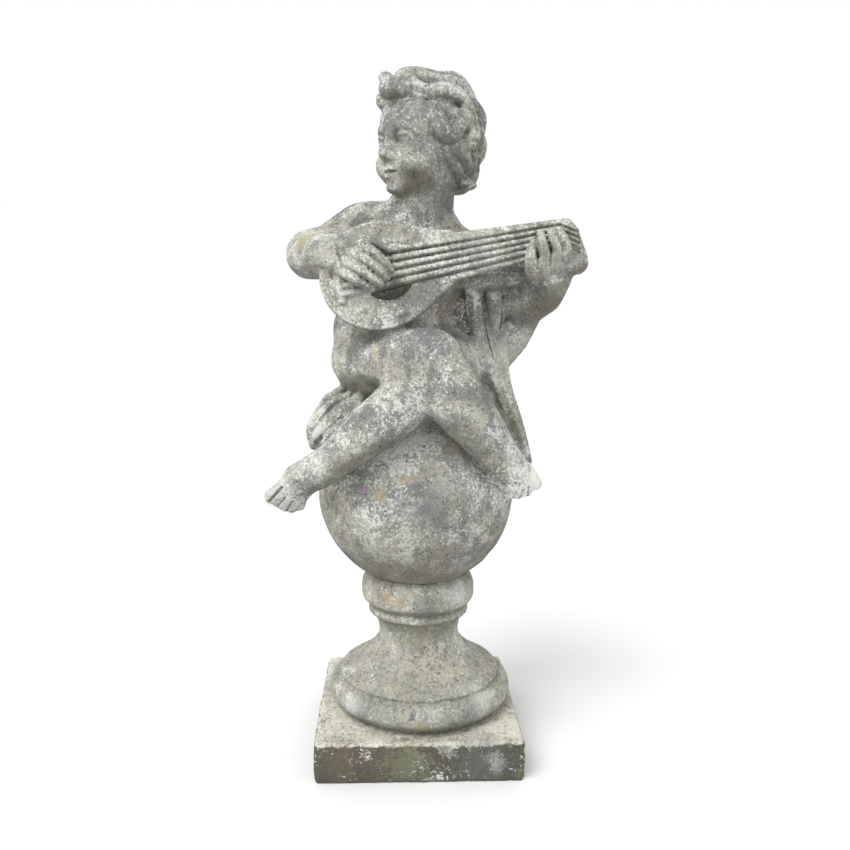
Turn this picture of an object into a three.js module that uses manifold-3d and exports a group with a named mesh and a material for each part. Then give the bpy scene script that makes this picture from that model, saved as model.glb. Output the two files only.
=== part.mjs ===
// A garden statue in cast stone: a curly-haired cherub sits cross-legged on a ball and plays a lute.
// The ball stands on a turned foot with a square plinth, and the whole is one casting.
// Millimetres, +Z up. The origin is the middle of the plinth's underside, and the cherub faces -Y.
import * as THREE from "three";
import { edgeTable, triTable } from "three/addons/objects/MarchingCubes.js";
import { SimplifyModifier } from "three/addons/modifiers/SimplifyModifier.js";
import { mergeVertices } from "three/addons/utils/BufferGeometryUtils.js";
import Module from "manifold-3d";

const wasm = await Module();
wasm.setup();

// Driving dimensions of the pedestal
const plinthWidth = 305; // twelve inches
const plinthHeight = 60;
const plinthCorner = 9; // rounding of the worn upright edges
const plinthEdge = 4; // rounding of the worn top edge
const ringRadius = 142; // the thick ring that lies on the plinth
const ringThickness = 40;
const ringGap = 6; // the low step that lifts the ring off the plinth
const lipHeight = 4; // from the top of the ring to the lip of the slope above it
const neckRadius = 61.5; // the narrowest place of the turned foot
const neckHeight = 112; // from the plinth to the narrowest place
const coveHeight = 32; // from the narrowest place up to the fillet
const filletRadius = 77; // the small ring under the collar
const filletHeight = 16;
const collarRadius = 88; // the swelling that the ball sits in
const collarHeight = 53;
const ballRadius = 150;
const ballSink = 22; // how deep the ball is let into the collar
const drift = -0.025; // the casting leans: sideways for each millimetre of height
const footShift = 4.5; // and the ring lies off the plinth's middle

// Driving dimensions of the figure
const figureHeight = 472; // from the seat on the ball to the top of the hair
const stringCount = 5;

// Fineness of the sculpted surface
const clayCell = 3;
const figureTriangles = 4600;
const turnedSides = 32;
const finestStep = 0.2; // shorter edges, left where forms join, are closed up
const touching = 0.01; // corners this near to one another are drawn apart
const drawnShare = 0.1; // by this share of the way to the corners next to them

const ringZ = plinthHeight + ringGap + ringThickness / 2;
const neckZ = plinthHeight + neckHeight;
const filletZ = neckZ + coveHeight;
const collarZ = filletZ + filletHeight;
const ballZ = collarZ + collarHeight - ballSink + ballRadius;
const seatZ = ballZ + ballRadius;
const pose = figureHeight / 472; // the figure's points below are millimetres of a figure 472 mm high

// Solids and meshes

function solidFrom(geometry) {
  const bare = geometry.clone();
  for (const name of Object.keys(bare.attributes)) if (name !== "position") bare.deleteAttribute(name);
  const merged = mergeVertices(bare, 1e-4);
  const vertProperties = new Float32Array(merged.attributes.position.array);
  const triVerts = new Uint32Array(merged.index.array);
  return new wasm.Manifold(new wasm.Mesh({ numProp: 3, vertProperties, triVerts }));
}

function geometryFrom(solid) {
  const mesh = solid.getMesh();
  const geometry = new THREE.BufferGeometry();
  geometry.setAttribute("position", new THREE.BufferAttribute(new Float32Array(mesh.vertProperties), 3));
  geometry.setIndex(new THREE.BufferAttribute(new Uint32Array(mesh.triVerts), 1));
  geometry.computeVertexNormals();
  return geometry;
}

// Clay: a block of space that holds the distance to the nearest surface, negative inside the stone

const low = new THREE.Vector3(-250, -190, -190).multiplyScalar(pose);
const high = new THREE.Vector3(262, 130, 490).multiplyScalar(pose);
const cells = high.clone().sub(low).divideScalar(clayCell).ceil();
const [nx, ny, nz] = [cells.x + 1, cells.y + 1, cells.z + 1];
const clay = new Float32Array(nx * ny * nz).fill(1e3);

function eachNode(box, reach, visit) {
  const from = box.min.clone().subScalar(reach).sub(low).divideScalar(clayCell).floor().max(new THREE.Vector3());
  const to = box.max.clone().addScalar(reach).sub(low).divideScalar(clayCell).ceil();
  for (let k = from.z; k <= Math.min(to.z, nz - 1); k++)
    for (let j = from.y; j <= Math.min(to.y, ny - 1); j++)
      for (let i = from.x; i <= Math.min(to.x, nx - 1); i++)
        visit(i + nx * (j + ny * k), low.x + i * clayCell, low.y + j * clayCell, low.z + k * clayCell);
}

// Smooth smaller value: where a and b are closer than blend, they run into each other.
function meld(a, b, blend) {
  const h = blend > 0 ? Math.max(blend - Math.abs(a - b), 0) / blend : 0;
  return Math.min(a, b) - (h * h * blend) / 4;
}

function add(shape, blend = 0) {
  const soft = blend * pose;
  eachNode(shape.box, soft + 3 * clayCell, (n, x, y, z) => {
    clay[n] = meld(clay[n], shape.distance(x, y, z), soft);
  });
}

function carve(shape, blend = 0) {
  const soft = blend * pose;
  eachNode(shape.box, soft + 3 * clayCell, (n, x, y, z) => {
    clay[n] = -meld(-clay[n], shape.distance(x, y, z), soft);
  });
}

// Shapes, in the figure's own millimetres

const point = (p) => new THREE.Vector3(...p).multiplyScalar(pose);

function egg(centre, radii, turn = [0, 0, 0]) {
  const c = point(centre);
  const r = point(radii);
  const back = new THREE.Matrix4().makeRotationFromEuler(new THREE.Euler(...turn, "ZYX"));
  const e = back.clone().transpose().elements;
  const m = back.elements;
  const half = new THREE.Vector3(
    Math.hypot(m[0] * r.x, m[4] * r.y, m[8] * r.z),
    Math.hypot(m[1] * r.x, m[5] * r.y, m[9] * r.z),
    Math.hypot(m[2] * r.x, m[6] * r.y, m[10] * r.z),
  );
  return {
    box: new THREE.Box3(c.clone().sub(half), c.clone().add(half)),
    distance(x, y, z) {
      const [dx, dy, dz] = [x - c.x, y - c.y, z - c.z];
      const u = e[0] * dx + e[4] * dy + e[8] * dz;
      const v = e[1] * dx + e[5] * dy + e[9] * dz;
      const w = e[2] * dx + e[6] * dy + e[10] * dz;
      const k0 = Math.hypot(u / r.x, v / r.y, w / r.z);
      const k1 = Math.hypot(u / (r.x * r.x), v / (r.y * r.y), w / (r.z * r.z));
      return k1 > 0 ? (k0 * (k0 - 1)) / k1 : -Math.min(r.x, r.y, r.z);
    },
  };
}

// A limb, finger, fold or lock: a round form that follows a smooth line, each point given as x, y, z, radius.
function limb(stations, steps = 3) {
  const line = new THREE.CatmullRomCurve3(stations.map((s) => point(s.slice(0, 3))), false, "centripetal");
  const count = (stations.length - 1) * steps;
  const at = [];
  for (let i = 0; i <= count; i++) {
    const t = i / count;
    const s = Math.min(Math.floor(t * (stations.length - 1)), stations.length - 2);
    const f = t * (stations.length - 1) - s;
    const ease = f * f * (3 - 2 * f);
    at.push({ p: line.getPoint(t), r: (stations[s][3] * (1 - ease) + stations[s + 1][3] * ease) * pose });
  }
  const box = new THREE.Box3();
  for (const { p, r } of at) box.union(new THREE.Box3(p.clone().subScalar(r), p.clone().addScalar(r)));
  return {
    box,
    distance(x, y, z) {
      let best = 1e9;
      for (let i = 0; i < count; i++) {
        const a = at[i];
        const b = at[i + 1];
        const [ux, uy, uz] = [b.p.x - a.p.x, b.p.y - a.p.y, b.p.z - a.p.z];
        const along = (x - a.p.x) * ux + (y - a.p.y) * uy + (z - a.p.z) * uz;
        const t = Math.min(1, Math.max(0, along / (ux * ux + uy * uy + uz * uz)));
        const d = Math.hypot(x - a.p.x - t * ux, y - a.p.y - t * uy, z - a.p.z - t * uz);
        best = Math.min(best, d - a.r - t * (b.r - a.r));
      }
      return best;
    },
  };
}

// The sculpted surface, drawn out of the clay by marching cubes

function sculptedGeometry() {
  const corners = [0, 1, 1 + nx, nx, nx * ny, 1 + nx * ny, 1 + nx + nx * ny, nx + nx * ny];
  const edges = [[0, 1], [1, 2], [3, 2], [0, 3], [4, 5], [5, 6], [7, 6], [4, 7], [0, 4], [1, 5], [2, 6], [3, 7]];
  const axes = [0, 1, 0, 1, 0, 1, 0, 1, 2, 2, 2, 2];
  const step = [1, nx, nx * ny];
  const seen = new Map();
  const vertices = [];
  const triangles = [];
  for (let n = 0; n < clay.length; n++) if (Math.abs(clay[n]) < 0.02 * clayCell) clay[n] = 0.02 * clayCell;
  const vertexOn = (n, axis) => {
    const key = n * 3 + axis;
    if (!seen.has(key)) {
      const t = clay[n] / (clay[n] - clay[n + step[axis]]);
      const at = [n % nx, Math.floor(n / nx) % ny, Math.floor(n / (nx * ny))];
      at[axis] += t;
      seen.set(key, vertices.length / 3);
      vertices.push(low.x + at[0] * clayCell, low.y + at[1] * clayCell, low.z + at[2] * clayCell);
    }
    return seen.get(key);
  };
  for (let k = 0; k < nz - 1; k++)
    for (let j = 0; j < ny - 1; j++)
      for (let i = 0; i < nx - 1; i++) {
        const n = i + nx * (j + ny * k);
        let kind = 0;
        for (let c = 0; c < 8; c++) if (clay[n + corners[c]] > 0) kind |= 1 << c;
        if (!edgeTable[kind]) continue;
        for (let t = kind * 16; triTable[t] !== -1; t++) {
          const [a] = edges[triTable[t]];
          triangles.push(vertexOn(n + corners[a], axes[triTable[t]]));
        }
      }
  const geometry = new THREE.BufferGeometry();
  geometry.setAttribute("position", new THREE.Float32BufferAttribute(vertices, 3));
  geometry.setIndex(triangles);
  return geometry;
}

// Corners that lie on one another, where the stone only just touches itself, are drawn apart: each goes a little
// way towards the corners next to it.
function drawnApart(solid) {
  const { vertProperties, triVerts } = solid.getMesh();
  const corner = (v) => new THREE.Vector3().fromArray(vertProperties, v * 3);
  const places = new Map();
  for (let v = 0; v < vertProperties.length / 3; v++) {
    const { x, y, z } = corner(v);
    const key = [x, y, z].map((value) => Math.round(value / touching)).join(" ");
    places.set(key, [...(places.get(key) ?? []), v]);
  }
  const moved = new Float32Array(vertProperties);
  for (const v of [...places.values()].filter((group) => group.length > 1).flat()) {
    const middle = new THREE.Vector3();
    let count = 0;
    for (let t = 0; t < triVerts.length; t += 3) {
      const around = [...triVerts.subarray(t, t + 3)];
      if (!around.includes(v)) continue;
      for (const other of around) if (other !== v) middle.add(corner(other));
      count += 2;
    }
    corner(v).lerp(middle.divideScalar(count), drawnShare).toArray(moved, v * 3);
  }
  return new wasm.Manifold(new wasm.Mesh({ numProp: 3, vertProperties: moved, triVerts }));
}

// The pedestal

const leaning = new THREE.Matrix4().makeTranslation(footShift - drift * ringZ, 0, 0);
leaning.multiply(new THREE.Matrix4().makeShear(0, 0, 0, 0, drift, 0));

function plinth() {
  const half = plinthWidth / 2 - plinthEdge;
  const corner = plinthCorner - plinthEdge;
  const outline = new THREE.Shape();
  outline.moveTo(-half + corner, -half);
  outline.lineTo(half - corner, -half);
  outline.absarc(half - corner, -half + corner, corner, -Math.PI / 2, 0);
  outline.absarc(half - corner, half - corner, corner, 0, Math.PI / 2);
  outline.absarc(-half + corner, half - corner, corner, Math.PI / 2, Math.PI);
  outline.absarc(-half + corner, -half + corner, corner, Math.PI, 1.5 * Math.PI);
  const block = new THREE.ExtrudeGeometry(outline, {
    depth: plinthHeight - 2 * plinthEdge,
    bevelThickness: plinthEdge,
    bevelSize: plinthEdge,
    bevelSegments: 1,
    curveSegments: 3,
  });
  return solidFrom(block.translate(0, 0, plinthEdge));
}

function turnedFoot() {
  const tube = ringThickness / 2;
  const ringAxis = ringRadius - tube;
  const slopeZ = ringZ + tube + lipHeight;
  const [half, swell] = [filletHeight / 2, collarHeight / 2];
  const foot = new THREE.Path().moveTo(0, plinthHeight - plinthEdge).lineTo(ringAxis - 2, plinthHeight - plinthEdge);
  const ring = new THREE.Path().absellipse(ringAxis, ringZ, tube, tube, -Math.PI / 2, 0.47 * Math.PI);
  const slope = new THREE.Path().moveTo(ringAxis - 1, slopeZ - 5).lineTo(ringAxis + 1, slopeZ - 1);
  slope.bezierCurveTo(ringAxis - 32, slopeZ + 23, neckRadius, neckZ - 26, neckRadius, neckZ);
  slope.quadraticCurveTo(neckRadius, filletZ - 6, filletRadius - 7, filletZ);
  const fillet = new THREE.Path();
  fillet.absellipse(filletRadius - half, filletZ + half, half, half, -0.4 * Math.PI, 0.35 * Math.PI);
  const collar = new THREE.Path().moveTo(filletRadius - 2, collarZ);
  collar.bezierCurveTo(collarRadius, collarZ + 2, collarRadius + 4, collarZ + swell, collarRadius - 3, collarZ + 38);
  collar.quadraticCurveTo(collarRadius - 6, collarZ + collarHeight, collarRadius - 18, collarZ + collarHeight);
  collar.lineTo(0, collarZ + collarHeight);
  const parts = [foot.getPoints(1), ring.getPoints(4), slope.getPoints(4), fillet.getPoints(2), collar.getPoints(4)];
  const turned = new THREE.LatheGeometry(parts.flat(), turnedSides).rotateX(Math.PI / 2);
  return solidFrom(turned.applyMatrix4(leaning));
}

function ball() {
  const round = new THREE.SphereGeometry(ballRadius, turnedSides, turnedSides / 2).rotateX(Math.PI / 2);
  return solidFrom(round.translate(0, 0, ballZ).applyMatrix4(leaning));
}

// The figure: each part is given as x, y, z and size, with z up from the seat

function body() {
  add(egg([-34, 6, 44], [94, 66, 50]));
  add(egg([-36, -6, 98], [93, 66, 64]), 20);
  add(egg([-12, 0, 170], [84, 56, 72]), 24);
  add(egg([-6, 2, 220], [90, 46, 42]), 20);
  add(egg([-58, 6, 246], [50, 34, 38]), 14);
  add(limb([[2, 8, 240, 52], [6, 6, 272, 44], [10, 2, 320, 43]]), 24);
}

function arms() {
  add(limb([[-90, 4, 240, 39], [-128, -8, 214, 36], [-160, -22, 203, 35]]), 16);
  add(limb([[-160, -22, 202, 35], [-142, -60, 197, 33], [-122, -92, 196, 26]]), 6);
  add(limb([[76, 8, 200, 36], [120, 6, 166, 35], [158, -10, 141, 37]]), 16);
  add(limb([[159, -12, 141, 37], [178, -44, 151, 33], [188, -76, 170, 25]]), 6);
}

function legs() {
  add(limb([[46, 4, 46, 60], [24, -60, 34, 50], [-10, -110, 6, 42]]), 14);
  const shin = [[-10, -112, 4, 42], [-38, -140, -12, 39], [-74, -148, -40, 34], [-116, -132, -78, 26]];
  add(limb([...shin, [-142, -122, -97, 25]]), 6);
  add(limb([[-74, -4, 50, 58], [-46, -64, 54, 49], [12, -116, 53, 46]]), 14);
  add(limb([[14, -118, 52, 46], [44, -142, 6, 42], [76, -136, -32, 36], [107, -120, -74, 28]]), 6);
}

// A foot seen from above its instep: the sole, the heel and five toes that spread from the middle of the foot.
function foot(ankle, middle, toes, radius) {
  add(limb([[...ankle, radius], [...middle, radius - 3]]), 8);
  const ball = toes[0].map((v, i) => (v + toes[4][i]) / 2);
  add(limb([[...middle, radius - 3], [...ball.map((v, i) => v * 0.6 + middle[i] * 0.4), radius - 5]]), 8);
  toes.forEach((tip, i) => {
    const size = i === 0 ? 11 : 8.6 - 0.5 * i;
    const root = tip.map((v, k) => v * 0.45 + middle[k] * 0.55);
    add(limb([[...root, size + 4], [...tip.map((v, k) => v * 0.82 + root[k] * 0.18), size], [...tip, size - 1]]), 3);
  });
}

function feet() {
  foot([-142, -122, -97], [-168, -116, -112], [
    [-214, -108, -139], [-203, -108, -150], [-193, -107, -158], [-181, -106, -160], [-168, -105, -157],
  ], 27);
  foot([107, -120, -74], [126, -110, -98], [
    [168, -98, -124], [155, -98, -138], [142, -98, -143], [129, -100, -141], [117, -102, -134],
  ], 29);
}

function hands() {
  add(limb([[-122, -92, 196, 26], [-102, -110, 194, 25], [-92, -116, 190, 22]]), 6);
  const fingers = [
    [[-88, -120, 206], [-62, -128, 195], [-45, -120, 177]],
    [[-94, -124, 196], [-70, -130, 187], [-50, -120, 168]],
    [[-100, -124, 186], [-78, -130, 176], [-57, -120, 159]],
    [[-106, -121, 176], [-88, -127, 167], [-70, -118, 157]],
  ];
  for (const [root, bend, tip] of fingers) add(limb([[...root, 10], [...bend, 8], [...tip, 6.5]]), 2);
  add(limb([[-98, -106, 214, 9], [-70, -112, 211, 7], [-46, -112, 202, 6]]), 2);
  add(limb([[188, -76, 170, 25], [184, -92, 172, 23]]), 6);
  const gripping = [
    [[159, -100, 168], [151, -124, 188], [156, -122, 206]],
    [[173, -100, 170], [169, -128, 194], [163, -122, 214]],
    [[187, -98, 174], [185, -128, 203], [176, -120, 225]],
    [[199, -94, 178], [197, -122, 205], [187, -116, 226]],
  ];
  for (const [root, bend, tip] of gripping) add(limb([[...root, 10], [...bend, 8.5], [...tip, 7]]), 2);
}

// The head is turned to its right. Its own directions are side, front and up from its middle.
const headTurn = 0.9;
const headMiddle = [14, 0, 368];

function onHead(side, front, up) {
  const [c, s] = [Math.cos(headTurn), Math.sin(headTurn)];
  return [headMiddle[0] + side * c - front * s, headMiddle[1] - side * s - front * c, headMiddle[2] + up];
}

const headEgg = (side, front, up, radii) => egg(onHead(side, front, up), radii, [0, 0, -headTurn]);
const headLine = (...stations) => limb(stations.map(([s, f, u, r]) => [...onHead(s, f, u), r]));

function head() {
  add(headEgg(0, -6, 14, [65, 77, 66]), 10);
  add(headEgg(0, 22, -30, [54, 54, 54]), 14);
  add(headEgg(0, 32, 16, [52, 44, 44]), 12);
  for (const side of [-1, 1]) add(headEgg(side * 28, 48, -38, [25, 24, 23]), 10);
  add(headEgg(0, 63, -69, [17, 15, 15]), 9);
  for (const side of [-1, 1]) {
    carve(headEgg(side * 25, 80, -8, [16, 9, 9]), 7);
    add(headEgg(side * 25, 60, -9, [13, 13, 10]), 1);
    add(headEgg(side * 8, 80, -32, [5.5, 6, 5]), 3);
  }
  add(headLine([0, 72, 0, 6], [0, 79, -15, 6.5], [0, 85, -29, 8]), 6);
  add(headLine([-14, 70, -50, 3.5], [0, 78, -48, 5.5], [14, 70, -50, 3.5]), 3);
  add(headLine([-10, 70, -57, 4], [0, 75, -58, 6], [10, 70, -57, 4]), 3);
  carve(headLine([-15, 75, -53, 1.5], [0, 83, -53, 1.5], [15, 75, -53, 1.5]), 2);
}

// One lock: a roll that winds in towards its middle. Its place is in degrees round the head and up from its middle.
function lock(around, height, size, hand) {
  const [a, e] = [around, height].map(THREE.MathUtils.degToRad);
  const out = new THREE.Vector3(Math.cos(e) * Math.sin(a), Math.cos(e) * Math.cos(a), Math.sin(e));
  const across = new THREE.Vector3(Math.cos(a), -Math.sin(a), 0);
  const up = new THREE.Vector3().crossVectors(across, out);
  const fullness = Math.pow(Math.cos(e), height < 0 ? -0.5 : -0.15); // the hair hangs straight at the back
  const middle = new THREE.Vector3(out.x * 66 * fullness, out.y * 72 * fullness - 12, out.z * 78 + 8);
  const stations = [];
  for (let i = 0; i <= 6; i++) {
    const turn = hand * (i / 6) * 1.4 * Math.PI;
    const reach = size * (0.95 - 0.5 * (i / 6));
    const p = middle.clone().addScaledVector(out, i);
    p.addScaledVector(across, reach * Math.cos(turn)).addScaledVector(up, reach * Math.sin(turn));
    stations.push([...onHead(p.x, p.y, p.z), size * (0.52 - 0.03 * i)]);
  }
  add(limb(stations, 2), 2);
}

function hair() {
  add(headEgg(0, -18, 24, [70, 74, 68]), 4);
  add(headEgg(0, -32, -30, [50, 46, 42]), 8);
  const rows = [
    { height: -50, from: 120, to: 240, count: 5, size: 20 },
    { height: -22, from: 106, to: 254, count: 6, size: 20 },
    { height: 4, from: 78, to: 282, count: 7, size: 20 },
    { height: 32, from: 62, to: 298, count: 7, size: 19 },
    { height: 60, from: 50, to: 310, count: 5, size: 19 },
  ];
  rows.forEach(({ height, from, to, count, size }, row) => {
    for (let i = 0; i < count; i++)
      lock(from + ((to - from) * i) / (count - 1), height + 5 * Math.sin(3 * i + row), size, (i + row) % 2 ? 1 : -1);
  });
  // The tuft swept up and forward over the forehead
  add(headLine([0, 46, 56, 15], [2, 72, 64, 15], [4, 84, 60, 12], [4, 84, 50, 8]), 4);
  add(headLine([-10, 36, 66, 16], [-12, 58, 80, 15], [-10, 76, 78, 11]), 4);
  add(headLine([14, 30, 66, 16], [18, 50, 76, 14], [22, 64, 66, 11], [22, 66, 54, 8]), 4);
  add(headLine([-30, 34, 56, 15], [-34, 56, 60, 13], [-32, 66, 48, 9]), 4);
  add(headLine([0, 0, 80, 16], [-6, 26, 88, 15], [-10, 44, 84, 12]), 4);
}

function drapery() {
  // From the crook of the left arm down past the knee to the ball
  const inner = [[66, 4, 178, 20], [70, 0, 120, 24], [84, 4, 60, 26], [104, 8, 0, 26], [130, 6, -50, 24]];
  const outer = [[100, 16, 172, 26], [108, 20, 110, 26], [112, 24, 50, 26], [120, 24, -10, 26], [136, 16, -64, 22]];
  const foldA = [[80, -32, 164, 11], [84, -30, 109, 12], [98, -26, 64, 12], [120, -22, 12, 11], [145, -18, -42, 10]];
  const foldB = [[106, -34, 164, 12], [113, -22, 109, 13], [122, -14, 56, 12], [134, -10, -5, 11], [151, -10, -51, 10]];
  add(limb([...inner, [156, -4, -104, 14]]), 6);
  add(limb(outer), 8);
  add(limb([...foldA, [165, -20, -98, 9]]), 3);
  add(limb([...foldB, [166, -14, -105, 9]]), 3);
  add(limb([[58, -14, 140, 7], [60, -16, 100, 8], [76, -16, 60, 8], [98, -14, 20, 8]]), 3);
  add(limb([[170, 4, 108, 14], [152, 8, 76, 14], [132, 10, 50, 14]]), 10);
  add(egg([138, 10, 92], [34, 22, 34]), 8);
  add(limb([[52, -22, 182, 14], [88, -48, 185, 15], [126, -58, 188, 15], [152, -62, 184, 13]]), 4);
  add(limb([[62, -22, 164, 12], [100, -46, 164, 12], [140, -58, 168, 11]]), 4);
  // The end that he sits on, which comes out by his right hip
  add(egg([-118, 16, -34], [46, 46, 38], [0, -0.72, 0]), 8);
  add(limb([[-96, -2, 6, 13], [-140, 8, -26, 13], [-162, 12, -62, 12], [-158, 8, -82, 10]]), 3);
  add(limb([[-88, -28, -8, 11], [-122, -22, -36, 12], [-152, -8, -64, 12], [-150, -4, -84, 10]]), 3);
  add(limb([[-80, -48, -20, 10], [-108, -42, -44, 11], [-136, -26, -66, 10]]), 3);
  // Behind, the cloth is gathered round his seat in plain folds
  for (let fold = 0; fold < 4; fold++) {
    const drop = 22 * fold;
    const out = 6 * fold;
    add(limb([
      [112, 26 + out, 50 - drop, 14], [70, 66 + out, 16 - drop, 14], [-10, 82 + out, 2 - drop, 14],
      [-84, 66 + out, 2 - drop, 14], [-132, 26 + out, -14 - drop, 12],
    ]), 6);
  }
}

// The lute: a board over a half-round bowl, a broad neck with strings, and a head that bends back.
// In its own directions x runs along the neck, y is up across the strings and z points out of the board.

const lute = {
  middle: [-58, -94, 168],
  rise: 0.21, // the neck points up to the viewer's right
  lean: 0.14, // the board leans back
  boardRadius: 75,
  boardStretch: 1.1,
  boardThickness: 14,
  bowlDepth: 42,
  holeRadius: 38,
  holeDepth: 10,
  holeMiddle: 2,
  stringMiddle: 8, // the strings and the neck lie above the board's middle line
  neckWidth: [68, 40], // at the body and at the head
  neckThickness: 18,
  neckEnd: 258, // from the middle of the board
  stringSpacing: [13, 6.8],
  stringRadius: [5.4, 3.8],
  stringStart: -56,
  headLength: 29,
  headDrop: 58, // how far the head hangs below the middle of the strings
  headThickness: 32,
};

function extruded(outline, depth, z, curveSegments = 8) {
  const options = { depth: depth - 4, bevelThickness: 2, bevelSize: 2, bevelOffset: -2, bevelSegments: 1, curveSegments };
  return solidFrom(new THREE.ExtrudeGeometry(outline, options).translate(0, 0, z + 2));
}

function stringBetween(from, to, radii, z) {
  const run = new THREE.Vector2(to[0] - from[0], to[1] - from[1]);
  const rod = new THREE.CylinderGeometry(radii[0], radii[1], run.length(), 5).rotateZ(Math.PI / 2);
  return solidFrom(rod.translate(run.length() / 2, 0, 0).rotateZ(run.angle()).translate(from[0], from[1], z));
}

function luteSolid() {
  const { boardRadius, boardThickness, neckEnd, stringMiddle, stringStart, headDrop } = lute;
  const [wide, narrow] = lute.neckWidth.map((w) => w / 2);
  const waist = boardRadius * 1.3;
  const outline = new THREE.Shape();
  outline.absellipse(0, 0, boardRadius * lute.boardStretch, boardRadius, 0.34 * Math.PI, 1.66 * Math.PI);
  outline.quadraticCurveTo(boardRadius * 0.94, -boardRadius * 0.66, waist + 10, stringMiddle - wide);
  outline.lineTo(waist + 10, stringMiddle + wide);
  outline.quadraticCurveTo(boardRadius * 0.94, boardRadius * 0.7, boardRadius * 0.52, boardRadius * 0.876);
  const round = new THREE.SphereGeometry(1, 16, 8).scale(boardRadius, boardRadius - 5, lute.bowlDepth);
  const bowl = solidFrom(round).trimByPlane([0, 0, -1], -2);
  const hole = new THREE.CylinderGeometry(lute.holeRadius, lute.holeRadius, 2 * lute.holeDepth, 18);
  hole.rotateX(Math.PI / 2).translate(12, lute.holeMiddle, boardThickness);
  let solid = extruded(outline, boardThickness, 0).add(bowl).subtract(solidFrom(hole));
  const neck = new THREE.Shape();
  neck.moveTo(waist - 20, stringMiddle - wide);
  neck.lineTo(neckEnd, stringMiddle - narrow);
  neck.lineTo(neckEnd, stringMiddle + narrow);
  neck.lineTo(waist - 20, stringMiddle + wide);
  neck.closePath();
  solid = solid.add(extruded(neck, lute.neckThickness, boardThickness - lute.neckThickness));
  const tip = neckEnd + lute.headLength;
  const head = new THREE.Shape();
  head.moveTo(neckEnd - 6, stringMiddle + narrow - 1);
  head.lineTo(neckEnd + 18, stringMiddle + narrow - 4);
  head.lineTo(tip, stringMiddle - headDrop + 16);
  head.quadraticCurveTo(tip, stringMiddle - headDrop, neckEnd + 12, stringMiddle - headDrop);
  head.quadraticCurveTo(neckEnd - 4, stringMiddle - headDrop, neckEnd - 6, stringMiddle - narrow - 6);
  head.closePath();
  solid = solid.add(extruded(head, lute.headThickness, boardThickness - lute.headThickness, 4));
  const [near, far] = lute.stringRadius;
  for (let i = 0; i < stringCount; i++) {
    const place = i - (stringCount - 1) / 2;
    const [from, to] = lute.stringSpacing.map((s) => stringMiddle + place * s);
    solid = solid.add(stringBetween([stringStart, from], [neckEnd, to], [far, near], boardThickness + 1));
    if (i === 0) continue;
    const bent = stringBetween([neckEnd - 3, to], [neckEnd + 22, to - 20], [far - 0.6, far - 0.4], boardThickness);
    solid = solid.add(bent);
  }
  const bridge = new THREE.CylinderGeometry(5, 5, 66, 5).translate(stringStart, stringMiddle, boardThickness);
  const placed = geometryFrom(solid.add(solidFrom(bridge)));
  placed.rotateX(Math.PI / 2 - lute.lean).rotateY(-lute.rise);
  placed.translate(...lute.middle).scale(pose, pose, pose);
  return solidFrom(placed);
}

body();
arms();
legs();
drapery();
head();
hair();
feet();
hands();

const raw = sculptedGeometry();
const small = await new SimplifyModifier().modify(raw, raw.attributes.position.count - figureTriangles / 2);
const figure = solidFrom(small).add(luteSolid()).translate([0, 0, seatZ]);
const joined = figure.add(plinth()).add(turnedFoot()).add(ball());
// Small hollows that the joined forms close in are solid stone: only the outer surface is kept.
const [outer] = joined.decompose().sort((a, b) => b.volume() - a.volume());
const whole = drawnApart(outer.simplify(finestStep));

const stone = new THREE.MeshStandardMaterial({ color: 0x9a988a, roughness: 0.95, metalness: 0 });
const statue = new THREE.Mesh(geometryFrom(whole), stone);
statue.name = "cherub_statue";

const object = new THREE.Group();
object.add(statue);
export default object;
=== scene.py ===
import math
import bpy
import numpy as np
from mathutils import Matrix, Vector


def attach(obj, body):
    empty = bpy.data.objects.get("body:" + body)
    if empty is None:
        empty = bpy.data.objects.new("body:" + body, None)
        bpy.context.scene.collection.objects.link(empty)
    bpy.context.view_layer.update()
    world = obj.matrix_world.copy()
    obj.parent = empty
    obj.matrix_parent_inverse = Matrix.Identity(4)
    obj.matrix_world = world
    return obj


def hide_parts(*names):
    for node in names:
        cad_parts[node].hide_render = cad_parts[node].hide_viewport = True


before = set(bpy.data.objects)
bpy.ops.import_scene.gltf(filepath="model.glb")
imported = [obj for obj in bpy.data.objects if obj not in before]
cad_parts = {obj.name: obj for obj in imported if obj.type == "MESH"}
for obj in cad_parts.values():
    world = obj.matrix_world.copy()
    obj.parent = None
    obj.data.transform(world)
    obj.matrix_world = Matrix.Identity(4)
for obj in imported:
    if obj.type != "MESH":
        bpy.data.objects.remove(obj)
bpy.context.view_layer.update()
print("statue: frame loaded")

# Camera, at the photograph's place and angle
view = {
    "place": (-0.0396, -1.2651, 0.6810),
    "yaw": -2.25,
    "pitch": -8.16,
    "roll": 0.4,
    "lens": 35.24,
}


def addCamera():
    bpy.ops.object.camera_add(location=view["place"])
    camera = bpy.context.active_object
    turn = Matrix.Rotation(math.radians(view["yaw"]), 3, "Z")
    turn = turn @ Matrix.Rotation(math.radians(90 + view["pitch"]), 3, "X")
    turn = turn @ Matrix.Rotation(math.radians(view["roll"]), 3, "Z")
    camera.rotation_euler = turn.to_euler()
    camera.data.sensor_width = 36
    camera.data.lens = view["lens"]
    bpy.context.scene.camera = camera


addCamera()

# Studio: a pale floor and soft light from above
studio = {
    "floorColour": (0.74, 0.74, 0.735, 1),
    "worldColour": (1.0, 1.0, 1.0, 1),
    "worldPower": 1.0,
    "sunTravel": (0.5, 0.55, -0.9),
    "sunPower": 2.3,
    "sunSoftness": 38,
}


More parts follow.
